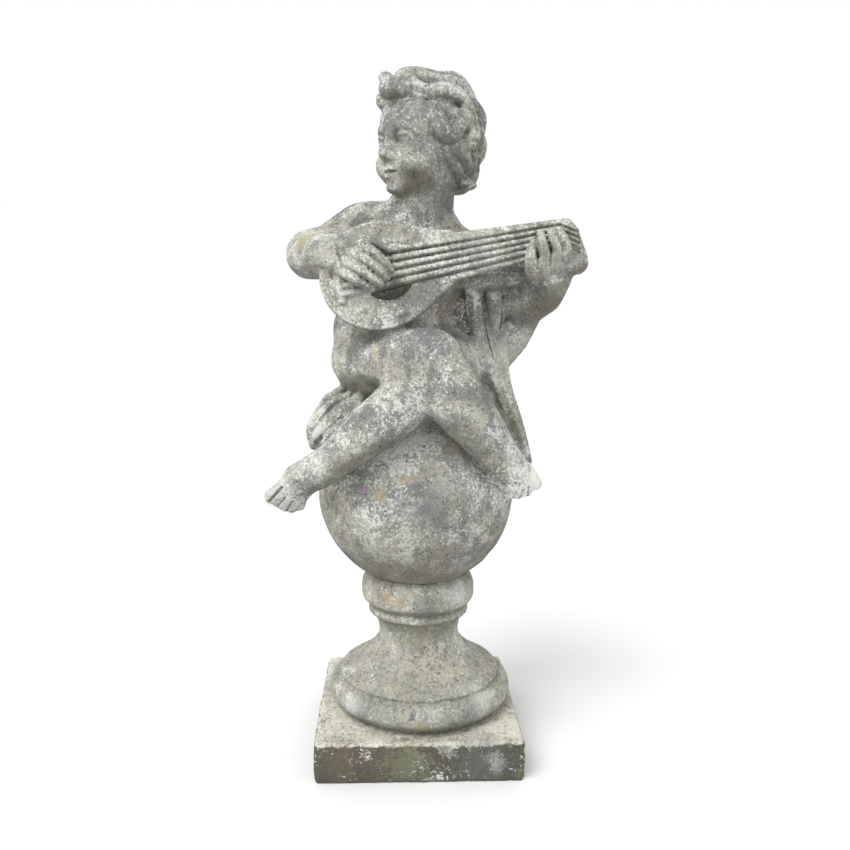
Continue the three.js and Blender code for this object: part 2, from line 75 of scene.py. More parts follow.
def addStudio():
    bpy.ops.mesh.primitive_plane_add(size=30)
    floor = bpy.context.active_object
    floor.name = "studio_floor"
    paper = bpy.data.materials.new("pale_floor")
    paper.use_nodes = True
    shader = paper.node_tree.nodes["Principled BSDF"]
    shader.inputs["Base Color"].default_value = studio["floorColour"]
    shader.inputs["Roughness"].default_value = 0.9
    floor.data.materials.append(paper)
    bpy.ops.object.light_add(type="SUN", location=(-1, -1.1, 2.6))
    sun = bpy.context.active_object
    sun.data.energy = studio["sunPower"]
    sun.data.angle = math.radians(studio["sunSoftness"])
    sun.rotation_euler = Vector(studio["sunTravel"]).to_track_quat("-Z", "Y").to_euler()
    world = bpy.data.worlds.new("soft_sky")
    world.use_nodes = True
    background = world.node_tree.nodes["Background"]
    background.inputs["Color"].default_value = studio["worldColour"]
    background.inputs["Strength"].default_value = studio["worldPower"]
    bpy.context.scene.world = world
    bpy.context.scene.view_settings.view_transform = "Standard"


addStudio()
print("statue: camera and studio ready")


# Modelling helpers. The figure's own points are millimetres, with z up from the seat on the ball.
seat = 552
seatPlace = np.array((0, 0, seat))


def at(point):
    return Vector((point[0], point[1], point[2] + seat)) / 1000


def unpicked():
    bpy.ops.object.select_all(action="DESELECT")


def pickOnly(piece):
    unpicked()
    piece.select_set(True)
    bpy.context.view_layer.objects.active = piece


def editAll():
    bpy.ops.object.mode_set(mode="EDIT")
    bpy.ops.mesh.select_all(action="SELECT")


def applyModifiers(piece):
    pickOnly(piece)
    for modifier in list(piece.modifiers):
        bpy.ops.object.modifier_apply(modifier=modifier.name)


def joined(pieces, name):
    pickOnly(pieces[0])
    for piece in pieces:
        piece.select_set(True)
    if len(pieces) > 1:
        bpy.ops.object.join()
    pieces[0].name = name
    return pieces[0]


def remeshed(piece, cell):
    skin = piece.modifiers.new("skin", "REMESH")
    skin.mode = "VOXEL"
    skin.voxel_size = cell / 1000
    skin.use_smooth_shade = True
    applyModifiers(piece)


def softened(piece, times, factor=0.5):
    worn = piece.modifiers.new("worn", "SMOOTH")
    worn.factor = factor
    worn.iterations = times
    applyModifiers(piece)


def coordinates(piece):
    flat = np.empty(len(piece.data.vertices) * 3)
    piece.data.vertices.foreach_get("co", flat)
    return flat.reshape(-1, 3)


def normalsOf(piece):
    flat = np.empty(len(piece.data.vertices) * 3)
    piece.data.vertices.foreach_get("normal", flat)
    return flat.reshape(-1, 3)


def placed(piece, points):
    piece.data.vertices.foreach_set("co", points.ravel())
    piece.data.update()


def figurePoints(piece):
    return coordinates(piece) * 1000 - seatPlace


def placedAsFigure(piece, points):
    placed(piece, (points + seatPlace) / 1000)


# A blunt tool with a rounded end is pressed in along one direction. Each hollow is a centre and radii.
def pressed(piece, hollows, inward, reachDeep=20):
    points = coordinates(piece)
    inward = np.array(inward)
    for centre, radii in hollows:
        away = points - np.array(at(centre))
        sideways = away @ np.cross(inward, (0, 0, 1))
        along = away @ inward
        reach = (sideways / radii[0] * 1000) ** 2 + (away[:, 2] / radii[2] * 1000) ** 2
        inside = (reach < 1) & (np.abs(along) < reachDeep / 1000)
        bottom = radii[1] / 1000 * np.sqrt(np.maximum(1 - reach, 0))
        points += np.where(inside, np.maximum(bottom - along, 0), 0)[:, None] * inward
    placed(piece, points)


# Draws rounded grooves. Each is a width, a depth and its places. The surface is cut where it lies no
# further out of the stone than above, and no further into it than below.
def grooved(piece, lines, inward, above=25, below=8):
    points = figurePoints(piece)
    inward = np.array(inward) / np.linalg.norm(inward)
    sink = np.zeros(len(points))
    for width, depth, *places in lines:
        places = np.array(places, dtype=float)
        for first, last in zip(places[:-1], places[1:]):
            away = points - first
            level = away @ inward
            run = last - first
            run = run - (run @ inward) * inward
            flat = away - level[:, None] * inward
            share = np.clip(flat @ run / (run @ run), 0, 1)
            aside = np.linalg.norm(flat - share[:, None] * run, axis=1)
            cut = depth * np.maximum(1 - (aside / width) ** 2, 0) ** 1.5
            near = (level > -above) & (level < below)
            sink = np.where(near, np.maximum(sink, cut), sink)
    placedAsFigure(piece, points + sink[:, None] * inward)


def egg(centre, radii, turn=(0, 0, 0)):  # a rounded swelling
    unpicked()
    size = [radius / 1000 for radius in radii]
    bpy.ops.mesh.primitive_uv_sphere_add(
        segments=24, ring_count=14, location=at(centre), rotation=turn, scale=size)
    bpy.ops.object.transform_apply()
    return bpy.context.active_object


def roll(stations):  # a round form along a smooth line: each station is x, y, z and radius
    places = [at(station) for station in stations]
    radii = [station[3] / 1000 for station in stations]
    first = (places[0] - places[1]).normalized()
    last = (places[-1] - places[-2]).normalized()
    rounding = [(0.55, 0.83), (0.87, 0.5), (0.99, 0.12)]
    start = [(places[0] + first * radii[0] * out, radii[0] * share)
        for out, share in reversed(rounding)]
    end = [(places[-1] + last * radii[-1] * out, radii[-1] * share) for out, share in rounding]
    line = start + list(zip(places, radii)) + end
    unpicked()
    bpy.ops.curve.primitive_bezier_curve_add()
    curve = bpy.context.active_object
    spline = curve.data.splines[0]
    spline.bezier_points.add(len(line) - 2)
    for knot, (place, radius) in zip(spline.bezier_points, line):
        knot.co = place
        knot.radius = radius
        knot.handle_left_type = "AUTO"
        knot.handle_right_type = "AUTO"
    curve.data.resolution_u = 5
    curve.data.bevel_depth = 1
    curve.data.bevel_resolution = 4
    curve.data.use_fill_caps = True
    bpy.ops.object.convert(target="MESH")
    return bpy.context.active_object


# The head is turned to its right. Its own directions are side, front and up from its middle.
headPose = {"turn": 0.9, "middle": (14, 0, 368)}


def onHead(side, front, up):
    c = math.cos(headPose["turn"])
    s = math.sin(headPose["turn"])
    x, y, z = headPose["middle"]
    return (x + side * c - front * s, y - side * s - front * c, z + up)


def headEgg(side, front, up, radii):
    return egg(onHead(side, front, up), radii, (0, 0, -headPose["turn"]))


def headRoll(*stations):
    return roll([(*onHead(side, front, up), radius) for side, front, up, radius in stations])


# The child, its cloth and the ball, which flow into one another
cherubSizes = {
    "coarseCell": 3.0,
    "softCell": 2.2,
    "fineCell": 1.6,
    "triangles": 194000,
    "coarseWear": 7,  # how many times each stage is softened
    "softWear": 4,
    "fineWear": 3,
    "cutHeight": 276,  # where the ball goes into the collar
    "cutDrop": 12,
    "cutShare": 0.8,
    "ballRadius": 150,
    "ballHeight": 402,
    "ballShift": -3.4,
}


def statueCopy():
    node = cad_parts["cherub_statue"]
    copy = bpy.data.objects.new("cherub_on_ball", node.data.copy())
    bpy.context.collection.objects.link(copy)
    pickOnly(copy)
    editAll()
    bpy.ops.mesh.remove_doubles(threshold=0.00001)
    bpy.ops.mesh.select_all(action="SELECT")
    height = cherubSizes["cutHeight"] / 1000
    bpy.ops.mesh.bisect(plane_co=(0, 0, height), plane_no=(0, 0, 1), clear_inner=True)
    drop = (0, 0, -cherubSizes["cutDrop"] / 1000)
    bpy.ops.mesh.extrude_region_move(TRANSFORM_OT_translate={"value": drop})
    bpy.ops.transform.resize(value=(cherubSizes["cutShare"], cherubSizes["cutShare"], 1))
    bpy.ops.mesh.edge_face_add()
    bpy.ops.object.mode_set(mode="OBJECT")
    return copy


def ballForm():
    unpicked()
    radius = cherubSizes["ballRadius"] / 1000
    place = (cherubSizes["ballShift"] / 1000, 0, cherubSizes["ballHeight"] / 1000)
    bpy.ops.mesh.primitive_uv_sphere_add(segments=72, ring_count=36, radius=radius, location=place)
    bpy.ops.object.transform_apply()
    return bpy.context.active_object


def faceForms():
    forms = [
        headEgg(0, 36, 20, (50, 42, 42)),
        headEgg(0, 62, -70, (15, 13, 12)),
        headRoll((0, 72, 5, 6), (0, 78, -12, 6), (0, 87, -27, 7.5)),
        headRoll((-13, 70, -50, 3), (0, 76, -50, 5), (13, 70, -50, 3)),
        headRoll((-10, 70, -57, 3), (0, 75, -58, 5), (10, 70, -57, 3)),
    ]
    for side in (-1, 1):
        forms.append(headEgg(side * 28, 48, -38, (25, 24, 23)))
        forms.append(headRoll((side * 38, 57, 1, 6), (side * 25, 69, 9, 7), (side * 9, 74, 5, 6)))
        forms.append(headEgg(side * 7, 80, -31, (5.5, 6, 5)))
    return forms


def faceHollows():
    hollows = []
    for side in (-1, 1):
        hollows.append((onHead(side * 24, 82, -8), (17, 17, 10.5)))
        hollows.append((onHead(side * 4, 88, -36), (2.6, 4, 2.6)))
    return hollows


mouth = {"halfWidth": 14, "step": 2, "front": 84, "curve": 0.45, "height": -53, "lift": 0.05}
mouthCut = (2.8, 7, 2.0)


def mouthLine():
    line = []
    for side in range(-mouth["halfWidth"], mouth["halfWidth"] + 1, mouth["step"]):
        front = mouth["front"] - abs(side) * mouth["curve"]
        line.append((onHead(side, front, mouth["height"] + abs(side) * mouth["lift"]), mouthCut))
    return line


def faceDetails():
    upperLip = [
        (-13, 71.5, -50, 2), (-5, 78, -48, 3.6), (0, 78.5, -49, 3), (5, 78, -48, 3.6), (13, 71.5, -50, 2),
    ]
    lowerLip = [(-10, 72, -56.5, 2), (0, 77, -58, 4.2), (10, 72, -56.5, 2)]
    upperLid = [
        (37, 59, -11, 2.2), (32, 67.5, -4, 2.8), (24, 71.5, -1.5, 3), (16, 70, -5, 2.8), (11, 66, -12, 2.2),
    ]
    lowerLid = [(35, 60, -13, 2), (24, 69.5, -18.5, 2.4), (13, 66.5, -14, 2)]
    details = [headRoll(*upperLip), headRoll(*lowerLip)]
    for side in (-1, 1):
        details.append(headEgg(side * 24.5, 61, -9.5, (11.5, 11.5, 9)))
        for lid in (upperLid, lowerLid):
            details.append(headRoll(*[(side * s, f, u, r) for s, f, u, r in lid]))
    return details


# Hair: broad locks that wind in at their ends. Each is a run of places on the head, with half widths.
hairLocks = [
    [(8, 0, 78, 15), (0, 16, 84, 15), (-6, 30, 85, 15), (-10, 42, 80, 15),
        (-12, 45, 70, 14), (-13, 47, 60, 13), (-14, 50, 50, 10)],
    [(14, 0, 80, 15), (8, 24, 82, 15), (3, 42, 82, 14), (0, 54, 74, 13), (-4, 61, 62, 12), (-6, 63, 52, 9)],
    [(44, 14, 62, 11), (36, 30, 56, 12), (26, 44, 60, 12), (16, 50, 70, 12), (10, 46, 78, 10)],
    [(40, 34, 50, 7), (28, 50, 52, 7), (14, 60, 58, 7), (2, 64, 66, 6)],
    [(3, 10, 78, 15), (16, -4, 80, 15), (24, -22, 82, 15), (24, -42, 78, 14),
        (26, -58, 64, 14), (36, -62, 50, 12), (46, -54, 44, 9)],
    [(36, 26, 56, 12), (46, 14, 58, 13), (54, -2, 54, 13),
        (62, -12, 42, 12), (68, -14, 26, 11), (66, -8, 14, 9)],
    [(46, 34, 36, 9), (54, 34, 20, 13), (60, 28, 4, 15), (64, 16, 0, 15), (68, 8, 10, 12), (66, 14, 20, 8)],
    [(66, -18, 30, 11), (70, -24, 14, 12), (70, -24, 0, 12), (66, -12, -12, 12), (60, 2, -18, 10)],
    [(40, -46, 54, 12), (48, -56, 42, 13), (50, -62, 28, 14), (54, -58, 14, 12), (62, -46, 14, 8)],
    [(50, -58, 8, 12), (50, -66, -4, 13), (44, -66, -18, 13), (50, -54, -26, 11), (58, -42, -20, 8)],
    [(60, 6, -18, 10), (60, -10, -26, 12), (50, -26, -34, 12), (38, -40, -40, 11), (26, -48, -44, 10)],
    [(48, -44, -30, 12), (40, -56, -38, 13), (30, -54, -50, 13), (18, -46, -58, 11), (10, -38, -62, 8)],
    [(54, 8, -26, 8), (50, -4, -38, 10), (40, -20, -48, 11), (28, -28, -56, 10)],
    [(54, 20, -14, 7), (54, 14, -28, 7), (48, 4, -40, 7), (42, -8, -48, 6)],
    [(10, -6, 82, 15), (0, -22, 82, 15), (-2, -38, 76, 15), (6, -54, 66, 14), (14, -66, 50, 12)],
    [(-14, 8, 78, 14), (-24, -8, 78, 15), (-30, -26, 72, 15), (-30, -44, 62, 14), (-24, -60, 48, 12)],
    [(-24, 34, 64, 13), (-36, 22, 64, 14), (-46, 6, 60, 14), (-54, -12, 50, 13), (-56, -28, 38, 11)],
    [(-26, 44, 54, 10), (-38, 37, 48, 11), (-50, 25, 38, 12), (-60, 10, 32, 13), (-66, -6, 24, 11)],
    [(-46, 34, 34, 10), (-54, 34, 18, 12), (-60, 24, 2, 14), (-66, 10, 0, 14), (-68, 4, 12, 10)],
    [(-64, -18, 26, 11), (-70, -20, 10, 12), (-68, -18, -8, 12), (-62, -4, -20, 11), (-56, 6, -26, 8)],
    [(-58, -36, 36, 12), (-62, -44, 20, 13), (-60, -50, 4, 13), (-54, -48, -12, 12), (-58, -34, -20, 9)],
    [(-44, -56, 40, 12), (-46, -66, 24, 13), (-42, -72, 8, 13), (-34, -70, -8, 12), (-40, -60, -18, 9)],
    [(-16, -68, 48, 13), (-22, -78, 32, 13), (-20, -84, 14, 13), (-10, -84, 0, 12), (-4, -78, -8, 9)],
    [(14, -70, 44, 13), (8, -82, 28, 13), (8, -86, 12, 13), (18, -82, -2, 12), (26, -76, -4, 9)],
    [(18, -76, 48, 11), (32, -76, 42, 14), (42, -72, 30, 13), (36, -74, 20, 9)],
    [(-50, -40, -20, 11), (-48, -48, -34, 12), (-38, -48, -48, 12),
        (-26, -42, -56, 11), (-20, -34, -60, 8)],
    [(-30, -66, -16, 12), (-26, -68, -32, 12), (-14, -62, -46, 12), (-4, -52, -56, 11), (0, -44, -60, 8)],
    [(-2, -80, -12, 12), (4, -78, -28, 12), (14, -68, -40, 12), (16, -56, -52, 11), (8, -48, -58, 8)],
    [(46, -58, 4, 9), (40, -70, -4, 12), (34, -77, -14, 14), (26, -70, -26, 11)],
    [(42, -52, -32, 10), (34, -60, -42, 12), (22, -56, -52, 11), (10, -48, -58, 8)],
    [(-58, 12, -22, 9), (-56, 2, -34, 11), (-48, -10, -46, 11), (-38, -22, -54, 10), (-28, -28, -58, 8)],
]
hairFit = {"skullFront": -11, "share": 0.14, "front": 60, "lowest": -55, "fade": 20}


def settled(side, front, up, radius):  # draws a place on the back of the head in towards the skull
    behind = min(max(-front / hairFit["front"], 0), 1)
    above = min(max((up - hairFit["lowest"]) / hairFit["fade"], 0), 1)
    share = 1 - hairFit["share"] * behind * above
    return side * share, hairFit["skullFront"] + (front - hairFit["skullFront"]) * share, up, radius


def hairForms():
    return [headRoll(*[settled(*place) for place in lock]) for lock in hairLocks]


hairGrooves = [
    [(30, 52, 58), (38, 36, 46), (42, 30, 34)], [(2, 72, 64), (18, 58, 60), (32, 44, 50)],
    [(50, 4, 62), (60, -14, 52), (68, -26, 38)], [(58, 2, 44), (66, -20, 24), (70, -22, 6)],
    [(48, 36, 30), (54, 36, 14), (60, 24, 4), (70, 12, 4)], [(60, -40, 40), (64, -48, 22), (62, -46, 4)],
    [(70, -2, -2), (72, -14, -8), (66, -30, -12)], [(58, 10, -24), (60, -10, -38), (50, -28, -48)],
    [(60, -34, -16), (56, -48, -28), (46, -54, -42)], [(-8, 66, 70), (-4, 46, 92), (4, 20, 94)],
    [(20, 20, 92), (30, -4, 90), (34, -30, 86)], [(64, 20, 16), (70, 8, 18), (72, 0, 10)],
]
combing = {"width": 3.2, "depth": 3.0, "inward": (-0.5, 0.8, -0.3), "above": 14, "below": 16}


def combed(piece):  # the worn grooves between the locks on the side towards the front
    size = (combing["width"], combing["depth"])
    lines = [(*size, *[onHead(*place) for place in groove]) for groove in hairGrooves]
    grooved(piece, lines, combing["inward"], combing["above"], combing["below"])


def hairHoles():
    holes = [(64, 4, 40, 9, 7, 5.5), (66, 12, 35, 8, 6, 4.5), (66, -34, 20, 6, 5, 8)]
    return [(onHead(side, front, up), (wide, deep, high)) for side, front, up, wide, deep, high in holes]


skull = {"middle": (0, -11, 14), "radii": (66, 71, 71), "neckTop": 300, "brow": 22, "slope": 0.6, "nape": -62}


def tucked(piece):  # takes the hair back to the skull, so that the new locks lie on it
    points = figurePoints(piece)
    c = math.cos(headPose["turn"])
    s = math.sin(headPose["turn"])
    axes = np.array([(c, -s, 0), (-s, -c, 0), (0, 0, 1)])
    own = (points - np.array(headPose["middle"])) @ axes.T
    front, up = own[:, 1], own[:, 2]
    onTop = (points[:, 2] > skull["neckTop"]) & (up > skull["nape"])
    hair = onTop & (front < skull["brow"] + skull["slope"] * up)
    away = (own - np.array(skull["middle"])) / np.array(skull["radii"])
    reach = np.linalg.norm(away, axis=1)
    share = np.where(hair & (reach > 1), 1 / np.maximum(reach, 1), 1)
    own = away * share[:, None] * np.array(skull["radii"]) + np.array(skull["middle"])
    placedAsFigure(piece, own @ axes + np.array(headPose["middle"]))


# Hands, feet and folds
fingers = [
    [(-98, -108, 213, 9), (-78, -124, 207, 7.2), (-60, -131, 196, 6.4), (-42, -123, 176, 5.4)],
    [(-104, -108, 203, 9), (-88, -127, 195, 7.2), (-68, -134, 184, 6.4), (-48, -123, 166, 5.4)],
    [(-110, -108, 192, 9), (-96, -126, 183, 7.2), (-77, -134, 172, 6.4), (-56, -122, 157, 5.4)],
    [(-116, -106, 180, 9), (-104, -123, 171, 7.2), (-87, -130, 161, 6.4), (-68, -119, 151, 5.4)],
    [(-100, -104, 218, 8), (-80, -114, 219, 6.6), (-62, -116, 212, 5.8), (-46, -115, 204, 5)],
]
gripping = [
    [(160, -92, 164, 9), (152, -112, 172, 9), (147, -124, 188, 8.4),
        (147, -127, 204, 7.4), (151, -119, 214, 6)],
    [(174, -92, 164, 9), (169, -116, 178, 8.4), (166, -129, 196, 7.8),
        (160, -131, 216, 7), (160, -120, 227, 5.6)],
    [(188, -90, 166, 9), (185, -113, 182, 8.2), (183, -127, 203, 7.4),
        (176, -130, 221, 6.6), (174, -119, 231, 5.4)],
    [(202, -86, 170, 8), (199, -107, 186, 7.8), (197, -121, 205, 7),
        (190, -125, 222, 6.4), (186, -116, 232, 5.2)],
]
fingerGrooves = [
    (2.4, 3.5, (157, -120, 180), (156, -126, 200), (154, -124, 216)),
    (2.4, 3.5, (174, -120, 184), (173, -126, 205), (167, -124, 222)),
    (2.4, 3.5, (191, -116, 190), (189, -122, 210), (181, -122, 226)),
]
wrists = [
    [(-138, -84, 196, 28), (-126, -92, 196, 25), (-112, -101, 194, 21), (-100, -108, 191, 17)],
    [(-134, -84, 204, 24), (-118, -94, 206, 20), (-104, -104, 204, 14)],
    [(184, -84, 160, 23), (180, -98, 166, 17)],
]


def handForms():
    return [roll(form) for form in fingers + gripping + wrists]


greatToes = [
    [(150, -104, -98, 9), (159, -104, -112, 10), (166, -102, -123, 9.5)],
    [(-186, -112, -117, 9), (-200, -113, -131, 9.5), (-211, -112, -142, 8.5)],
]
toeGrooves = [
    (3.0, 7.0, (-217, -112, -149), (-204, -112, -135), (-193, -112, -123)),
    (2.0, 4.5, (-209, -112, -161), (-198, -112, -148), (-188, -112, -136)),
    (2.0, 4.5, (-192, -112, -166), (-186, -112, -153), (-179, -112, -142)),
    (2.0, 4.0, (-178, -112, -166), (-172, -112, -154), (-166, -112, -145)),
    (2.4, 4.5, (122, -108, -148), (126, -108, -130)),
    (2.4, 5.0, (132, -108, -156), (135, -108, -130)),
    (2.4, 5.0, (143, -108, -158), (144, -108, -128)),
    (2.8, 6.0, (158, -108, -156), (153, -108, -125)),
]


def footForms():
    return [roll(toe) for toe in greatToes]


clothFolds = [
    [(66, -18, 182, 9), (76, -30, 160, 12), (80, -30, 120, 12), (88, -28, 84, 12),
        (98, -26, 60, 11), (120, -22, 12, 10), (145, -18, -42, 9), (166, -20, -100, 7)],
    [(96, -36, 176, 10), (107, -34, 150, 12), (112, -24, 112, 13), (120, -16, 62, 12),
        (132, -11, 4, 11), (150, -10, -46, 10), (167, -14, -106, 8)],
    [(58, -14, 150, 6), (60, -16, 104, 8), (74, -16, 62, 8), (96, -14, 22, 7), (118, -12, -30, 6)],
    [(50, -22, 190, 10), (70, -36, 190, 12), (100, -52, 187, 13), (130, -60, 188, 12), (150, -64, 186, 10)],
    [(60, -26, 172, 9), (90, -42, 170, 10), (120, -54, 170, 10), (150, -60, 172, 9)],
    [(-92, -2, 8, 11), (-120, 2, -6, 12), (-145, 8, -30, 12), (-163, 12, -62, 11), (-160, 8, -84, 9)],
    [(-86, -26, -6, 9), (-110, -24, -26, 10), (-134, -16, -50, 10), (-152, -6, -70, 9), (-152, -2, -86, 7)],
    [(-80, -46, -20, 8), (-100, -42, -38, 9), (-122, -32, -58, 9), (-140, -22, -74, 8)],
]
hipGrooves = [
    (5, 5, (-92, -30, 2), (-126, -20, -20), (-160, -10, -58)),
    (4.5, 4.5, (-112, -30, 6), (-140, -20, -10), (-166, -10, -34)),
    (5, 4.5, (-112, -30, -38), (-138, -20, -62), (-158, -10, -84)),
]
clothGrooves = [
    (7, 3.5, (97, -40, 150), (99, -40, 94), (110, -34, 46), (134, -24, -30), (158, -20, -90)),
    (6, 3.0, (122, -40, 140), (121, -40, 100), (130, -34, 50), (148, -24, -20)),
    (7, 5.0, (72, -40, 140), (73, -40, 90)),
    (5, 3.0, (90, -56, 181), (118, -56, 182), (144, -60, 180)),
]


def clothForms():
    forms = [roll(fold) for fold in clothFolds]
    for fold in range(5):
        drop = 18 * fold
        out = 5 * fold
        forms.append(roll([
            (112, 28 + out, 52 - drop, 8), (70, 70 + out, 20 - drop, 9), (-10, 86 + out, 6 - drop, 9),
            (-84, 70 + out, 4 - drop, 9), (-130, 28 + out, -12 - drop, 8),
        ]))
    return forms


# The lute, in its own directions: x along the neck, y up across the strings, z out of the board
luteSizes = {
    "middle": (-58, -94, 168),
    "rise": 0.199,
    "lean": 0.14,
    "boardThickness": 14,
    "boardRadii": (82.5, 75),
    "boardArc": (56, 302),
    "boardSteps": 40,
    "hole": (12, 2, 38),
    "holeDepth": 11,
    "stringMiddle": 8,
    "stringStart": -54,
    "spacing": (12.4, 7.4),
    "stringRadius": (4.7, 3.3),
    "neckWidth": (69, 42),
    "neckStart": 86,
    "neckEnd": 258,
    "headDrop": 56,
    "room": 4,  # how far below the board's face the copy is lowered
    "holeFloor": 2,
}
luteTurn = Matrix.Rotation(-luteSizes["rise"], 3, "Y")
luteTurn = luteTurn @ Matrix.Rotation(math.pi / 2 - luteSizes["lean"], 3, "X")
luteInward = tuple(luteTurn @ Vector((0, 0, -1)))
luteTop = luteSizes["boardThickness"]
stringLine = luteSizes["stringMiddle"]
stringFrom = luteSizes["stringStart"]
neckTo = luteSizes["neckEnd"]
neckWide, neckNarrow = [width / 2 for width in luteSizes["neckWidth"]]
bandWide, bandNarrow = [space * 2.5 for space in luteSizes["spacing"]]
headLow = stringLine - luteSizes["headDrop"]


def onLute(x, y, z):
    return tuple(luteTurn @ Vector((x, y, z)) + Vector(luteSizes["middle"]))


def luteRoll(*stations):
    return roll([(*onLute(x, y, z), radius) for x, y, z, radius in stations])


def luteSlab(outline, low, high, edge):  # a flat piece with rounded edges, from its outline
    unpicked()
    bpy.ops.mesh.primitive_circle_add(vertices=len(outline), radius=1, fill_type="NGON")
    slab = bpy.context.active_object
    for corner, (x, y) in zip(slab.data.vertices, outline):
        corner.co = at(onLute(x, y, low))
    editAll()
    rise = luteTurn @ Vector((0, 0, high - low)) / 1000
    bpy.ops.mesh.extrude_region_move(TRANSFORM_OT_translate={"value": rise})
    bpy.ops.mesh.select_all(action="SELECT")
    bpy.ops.mesh.normals_make_consistent(inside=False)
    bpy.ops.mesh.bevel(offset=edge / 1000, segments=3)
    bpy.ops.object.mode_set(mode="OBJECT")
    return slab


def cutOut(piece, centre, radius, depth):
    unpicked()
    bpy.ops.mesh.primitive_cylinder_add(
        vertices=48, radius=radius / 1000, depth=2 * depth / 1000,
        location=at(onLute(centre[0], centre[1], luteTop)), rotation=luteTurn.to_euler())
    tool = bpy.context.active_object
    cut = piece.modifiers.new("cut", "BOOLEAN")
    cut.operation = "DIFFERENCE"
    cut.object = tool
    applyModifiers(piece)
    bpy.data.objects.remove(tool)


def lowered(piece):  # makes room for the lute's face and for the fingers on it
    turn = np.array(luteTurn)
    own = (figurePoints(piece) - np.array(luteSizes["middle"])) @ turn
    face = luteTop - luteSizes["room"]
    x, y, z = own.T
    board = (x > -48) & (x < 86) & ((x / 80) ** 2 + (y / 73) ** 2 < 1)
    neck = (x >= 60) & (x < 262) & (np.abs(y - stringLine) < 40 - 0.055 * x)
    over = (board | neck) & (z > face) & (z < 60)
    holeX, holeY, holeRadius = luteSizes["hole"]
    hole = (x - holeX) ** 2 + (y - holeY) ** 2 < (holeRadius + 2) ** 2
    z = np.where(over, face, z)
    z = np.where(hole & (z > 0) & (z < 60), luteSizes["holeFloor"], z)
    own = np.stack([x, y, z], axis=1)
    placedAsFigure(piece, own @ turn.T + np.array(luteSizes["middle"]))


def luteBoard():
    start, end = luteSizes["boardArc"]
    long, short = luteSizes["boardRadii"]
    outline = []
    for step in range(luteSizes["boardSteps"] + 1):
        angle = math.radians(start + (end - start) * step / luteSizes["boardSteps"])
        outline.append((long * math.cos(angle), short * math.sin(angle)))
    outline += [
        (56, -58), (68, -50), (80, -40), (94, -31),
        (110, stringLine - neckWide), (110, stringLine + neckWide), (84, 47), (66, 55),
    ]
    board = luteSlab(outline, 0, luteTop, 3)
    cutOut(board, luteSizes["hole"][:2], luteSizes["hole"][2], luteSizes["holeDepth"])
    return board


def luteNeck():  # the strings' raised band, then the neck under it
    band = [
        (stringFrom, stringLine - bandWide), (neckTo, stringLine - bandNarrow),
        (neckTo, stringLine + bandNarrow), (stringFrom, stringLine + bandWide),
    ]
    start = luteSizes["neckStart"]
    neck = [
        (start, stringLine - neckWide + 3), (neckTo, stringLine - neckNarrow),
        (neckTo, stringLine + neckNarrow), (start, stringLine + neckWide - 3),
    ]
    return [luteSlab(band, luteTop - 8, luteTop + 0.4, 1), luteSlab(neck, luteTop - 17, luteTop - 1, 3)]


def luteHead():
    outline = [
        (neckTo - 5, stringLine + neckNarrow - 1), (neckTo + 8, stringLine + neckNarrow + 1),
        (neckTo + 18, stringLine + neckNarrow - 5), (neckTo + 24, stringLine - 4),
        (neckTo + 29, headLow + 18), (neckTo + 28, headLow + 6), (neckTo + 20, headLow - 1),
        (neckTo + 8, headLow), (neckTo - 3, headLow + 8), (neckTo - 6, stringLine - neckNarrow - 6),
    ]
    return luteSlab(outline, luteTop - 30, luteTop - 1, 4)


def luteStrings():  # the strings, with their ends over the bent head
    strings = []
    thick, thin = luteSizes["stringRadius"]
    for order in range(-2, 3):
        wide, narrow = [stringLine + space * order for space in luteSizes["spacing"]]
        start = (stringFrom - 2, wide, luteTop + 1.6, thick)
        strings.append(luteRoll(start, (neckTo, narrow, luteTop + 1.6, thin)))
        turned = (neckTo + 17 + order * 1.5, narrow - 15, luteTop, thin)
        strings.append(luteRoll((neckTo - 3, narrow + 1, luteTop + 1.2, thin), turned))
    return strings


def luteTrim():  # the neck's lower edge, the bridge, the end of the head and the buttons
    low = stringLine - bandWide
    high = stringLine + bandWide
    bridge = stringFrom - 3
    tail = stringFrom - 11
    return [
        luteRoll((luteSizes["neckStart"] - 6, stringLine - neckWide + 2, luteTop - 3, 5),
            (neckTo - 6, stringLine - neckNarrow + 1, luteTop - 3, 4.4)),
        luteRoll((bridge, low - 3, luteTop + 1, 5), (bridge, high + 2, luteTop + 1, 5)),
        luteRoll((tail, low - 5, luteTop - 1, 4), (tail, stringLine - 6, luteTop - 1, 4)),
        luteRoll((neckTo + 2, headLow + 10, luteTop - 3, 12), (neckTo + 15, headLow + 11, luteTop - 2, 12)),
        luteRoll((18, -56, luteTop - 2, 7), (22, -56, luteTop - 2, 7)),
        luteRoll((-34, -40, luteTop - 3, 6), (-30, -42, luteTop - 3, 6)),
    ]


def luteForms():
    return [luteBoard(), *luteNeck(), luteHead(), *luteStrings(), *luteTrim()]


def strung(piece):  # sharpens the gaps between the strings, and between their ends over the bent head
    wide, narrow = luteSizes["spacing"]
    start = -2
    along = start - stringFrom
    length = neckTo - stringFrom
    gaps = []
    for order in (-2.5, -1.5, -0.5, 0.5, 1.5):
        first = onLute(start, stringLine + (wide + (narrow - wide) * along / length) * order, luteTop)
        last = onLute(neckTo - 2, stringLine + narrow * order, luteTop)
        gaps.append((2.3, 2.6, first, last))
        if abs(order) < 2:
            end = onLute(neckTo + 20 + order, stringLine + narrow * order - 14, luteTop)
            gaps.append((2.2, 3.2, last, end))
    edge = stringLine - narrow * 2.2
    gaps.append((2.2, 3.0, onLute(neckTo - 2, edge, luteTop), onLute(neckTo + 18, edge - 14, luteTop)))
    grooved(piece, gaps, luteInward, 9, 10)


